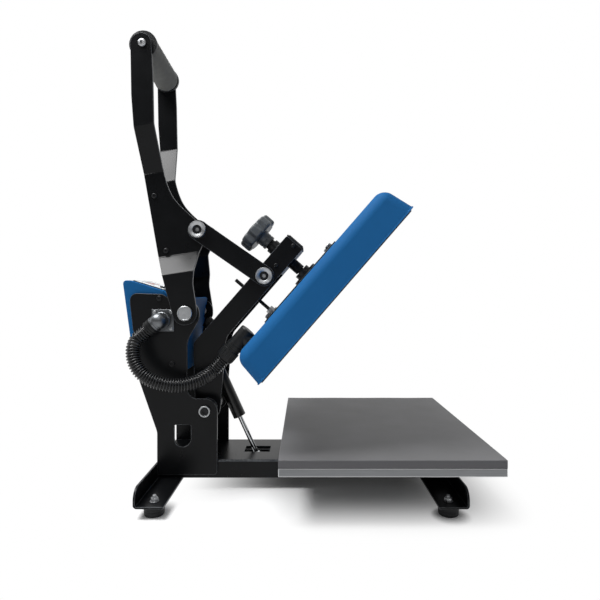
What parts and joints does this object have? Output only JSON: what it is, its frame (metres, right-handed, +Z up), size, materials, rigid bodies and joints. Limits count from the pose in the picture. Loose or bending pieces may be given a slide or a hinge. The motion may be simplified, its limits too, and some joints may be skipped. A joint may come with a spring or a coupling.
{
  "type": "manual heat press",
  "caption": "Clamshell heat press: heated platen on a swinging arm over a padded lower platen, closed by a hand lever and toggle links, with a gas spring and control box.",
  "frame": {"origin": "on the floor, below the middle of the press", "axes": "+X to the front, where the platens open; +Z up; +Y to the left of someone at the front"},
  "size_m": [0.738, 0.514, 0.9581],
  "materials": {
    "black_paint": "satin powder coat",
    "zinc": "bright zinc",
    "aluminium": "milled",
    "grey_steel": "plain",
    "blue_plastic": "satin moulding",
    "rubber": "matt",
    "black_plastic": "matt moulding",
    "foam": "foam",
    "silicone": "matt sheet",
    "panel": "satin film",
    "display": "gloss",
    "circuit": "satin",
    "red_plastic": "gloss",
    "element": "heat stained"
  },
  "bodies": {
    "frame": {"base_channel": "black_paint", "rear_crossbar": "black_paint", "front_crossbar": "black_paint", "rubber_feet": "rubber", "foot_bolts": "zinc", "column_plate_near": "black_paint", "column_plate_far": "black_paint", "column_tie": "black_paint", "column_screws": "zinc", "handle_pivot_bolts": "zinc", "arm_pivot_shaft": "zinc", "platen_rails": "black_paint", "lower_platen": "aluminium", "silicone_pad": "silicone", "platen_bolts": "zinc", "control_housing": "blue_plastic", "control_panel": "panel", "display_window": "display", "control_board": "circuit", "switch_bezel": "black_plastic", "cord_gland": "black_plastic", "connector_flange": "zinc", "connector_plug": "black_plastic", "conduit_hose": "black_plastic", "spring_bracket": "black_paint"},
    "handle": {"handle_plate_near": "black_paint", "handle_plate_far": "black_paint", "handle_grip": "foam", "grip_core": "black_paint", "handle_screws": "zinc", "tie_rods": "black_paint", "toggle_tube": "black_paint", "toggle_bolts": "zinc"},
    "links": {"link_near": "black_paint", "link_far": "black_paint", "link_bolts": "zinc"},
    "arm": {"press_arm": "black_paint", "arm_end_cap": "black_plastic", "nut_block": "grey_steel", "nut_block_screws": "zinc", "guide_nut": "zinc", "link_pin": "zinc", "hold_magnet": "rubber"},
    "platen": {"heat_platen": "aluminium", "heating_element": "element", "platen_cover": "blue_plastic", "mount_plate": "black_paint", "mount_posts": "grey_steel", "mount_bolts": "zinc", "spindle_socket": "zinc", "guide_rod": "zinc", "hose_elbow": "black_plastic"},
    "screw": {"spindle": "zinc", "pressure_knob": "black_plastic"},
    "gas_cylinder": {"gas_cylinder": "black_paint"},
    "gas_rod": {"gas_rod": "zinc"},
    "button_up": {"button_up": "black_plastic"},
    "button_down": {"button_down": "black_plastic"},
    "button_set": {"button_set": "red_plastic"},
    "power_rocker": {"power_rocker": "red_plastic"}
  },
  "joints": [
    {"name": "arm_swing", "type": "hinge", "parent": "frame", "child": "arm", "pos_m": [-0.194, 0, 0.166], "axis": [0, 1, 0], "range_deg": [0, 49], "stiffness_Nm_per_rad": 45, "springref_deg": -108.86, "deforming": ["conduit_hose"]},
    {"name": "handle_swing", "type": "hinge", "parent": "frame", "child": "handle", "pos_m": [-0.232, 0, 0.371], "axis": [0, 1, 0], "range_deg": [0, 102.51]},
    {"name": "link_swing", "type": "hinge", "parent": "handle", "child": "links", "pos_m": [-0.21324, 0, 0.54798], "axis": [0, 1, 0], "range_deg": [-118.7, 0]},
    {"name": "cylinder_swing", "type": "hinge", "parent": "arm", "child": "gas_cylinder", "pos_m": [-0.20222, 0, 0.29068], "axis": [0, 1, 0], "range_deg": [-28.46, 0]},
    {"name": "rod_swing", "type": "hinge", "parent": "frame", "child": "gas_rod", "pos_m": [-0.0906, 0, 0.047], "axis": [0, 1, 0], "range_deg": [0, 20.56]},
    {"name": "platen_slide", "type": "slide", "parent": "arm", "child": "platen", "axis": [-0.7547, 0, 0.6561], "range_m": [0, 0.008], "deforming": ["conduit_hose"]},
    {"name": "knob_turn", "type": "hinge", "parent": "platen", "child": "screw", "pos_m": [-0.03591, 0, 0.50028], "axis": [-0.7547, 0, 0.6561], "range_deg": [0, 361]},
    {"name": "button_up_press", "type": "slide", "parent": "frame", "child": "button_up", "axis": [-0.2924, 0, -0.9563], "range_m": [0, 0.0015], "stiffness_N_per_m": 300, "springref_m": -0.001},
    {"name": "button_down_press", "type": "slide", "parent": "frame", "child": "button_down", "axis": [-0.2924, 0, -0.9563], "range_m": [0, 0.0015], "stiffness_N_per_m": 300, "springref_m": -0.001},
    {"name": "button_set_press", "type": "slide", "parent": "frame", "child": "button_set", "axis": [-0.2924, 0, -0.9563], "range_m": [0, 0.0015], "stiffness_N_per_m": 300, "springref_m": -0.001},
    {"name": "rocker_turn", "type": "hinge", "parent": "frame", "child": "power_rocker", "pos_m": [-0.35536, 0.03, 0.36184], "axis": [0, 1, 0], "range_deg": [0, 20]}
  ],
  "couplings": [
    {"joint": "handle_swing", "follows": "arm_swing", "ratio": 2.0919},
    {"joint": "link_swing", "follows": "arm_swing", "ratio": -2.4222},
    {"joint": "cylinder_swing", "follows": "arm_swing", "ratio": -0.58062},
    {"joint": "rod_swing", "follows": "arm_swing", "ratio": 0.41937},
    {"joint": "knob_turn", "follows": "platen_slide", "rad_per_m": 785.4}
  ]
}
